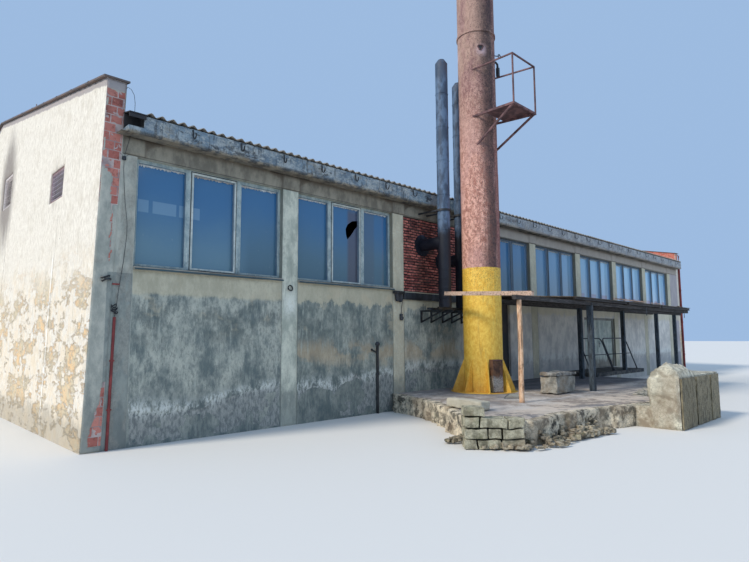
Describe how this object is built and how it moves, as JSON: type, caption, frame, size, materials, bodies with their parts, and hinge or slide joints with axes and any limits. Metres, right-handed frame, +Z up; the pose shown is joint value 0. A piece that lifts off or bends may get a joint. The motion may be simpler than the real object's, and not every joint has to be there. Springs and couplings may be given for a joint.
{
  "type": "warehouse",
  "caption": "Long single-storey warehouse with parapet gables, ribbon windows, brick infill, boiler stack, twin flues, timber canopy, landing and double door.",
  "frame": {"origin": "front wall face at the first column axis, on the lowest ground level", "axes": "+X along the front wall, +Y into the building, +Z up"},
  "size_m": [31.215, 25.99, 15.0004],
  "materials": {
    "plastered_brick": "weathered plaster over hollow brick",
    "render_concrete": "weathered cement render",
    "bare_brick": "rough brick",
    "cement_sheet": "weathered fibre cement",
    "dark_steel": "worn black paint",
    "red_steel": "worn dark red paint",
    "stack_steel": "rust above, yellow paint below",
    "old_timber": "weathered timber",
    "rough_concrete": "rough concrete",
    "stone": "pale rough stone",
    "grey_wood": "peeling grey paint",
    "pane": "dusty glass"
  },
  "bodies": {
    "building": {"back_panels": "render_concrete", "back_roof": "cement_sheet", "brick_infill": "bare_brick", "canopy_frame": "old_timber", "canopy_roof": "old_timber", "columns": "render_concrete", "concrete_blocks": "rough_concrete", "cornices": "render_concrete", "dock_block": "rough_concrete", "dock_timbers": "old_timber", "door_bay_wall": "render_concrete", "door_frame": "grey_wood", "door_side_pier": "render_concrete", "far_gable_wall": "plastered_brick", "floor_slab": "rough_concrete", "flue_ducts": "dark_steel", "flues": "dark_steel", "front_panels": "render_concrete", "front_roof": "cement_sheet", "gable_copings": "dark_steel", "landing_deck": "dark_steel", "landing_rails": "dark_steel", "loading_platform": "rough_concrete", "loose_rafter": "old_timber", "louvres": "dark_steel", "near_gable_wall": "plastered_brick", "ridge_cap": "cement_sheet", "ring_beams": "render_concrete", "roof_beams": "rough_concrete", "sheeted_doorway": "dark_steel", "soot_door": "dark_steel", "stack_base": "stack_steel", "stack_shell": "stack_steel", "steel_posts": "dark_steel", "stone_pier": "stone", "test_platform": "dark_steel", "test_rail": "dark_steel", "timber_post": "old_timber", "wall_pipes": "red_steel", "wall_steelwork": "dark_steel", "window_frames": "grey_wood", "window_glazing": "pane", "window_sills": "render_concrete"},
    "leaf_left": {"door_leaf_left": "grey_wood"},
    "leaf_right": {"door_leaf_right": "grey_wood"}
  },
  "joints": [
    {"name": "left_leaf_hinge", "type": "hinge", "parent": "building", "child": "leaf_left", "pos_m": [18.442, 0.202, 1.6], "axis": [0, 0, 1], "range_deg": [0, 95]},
    {"name": "right_leaf_hinge", "type": "hinge", "parent": "building", "child": "leaf_right", "pos_m": [21.308, 0.202, 1.6], "axis": [0, 0, -1], "range_deg": [0, 95]}
  ]
}
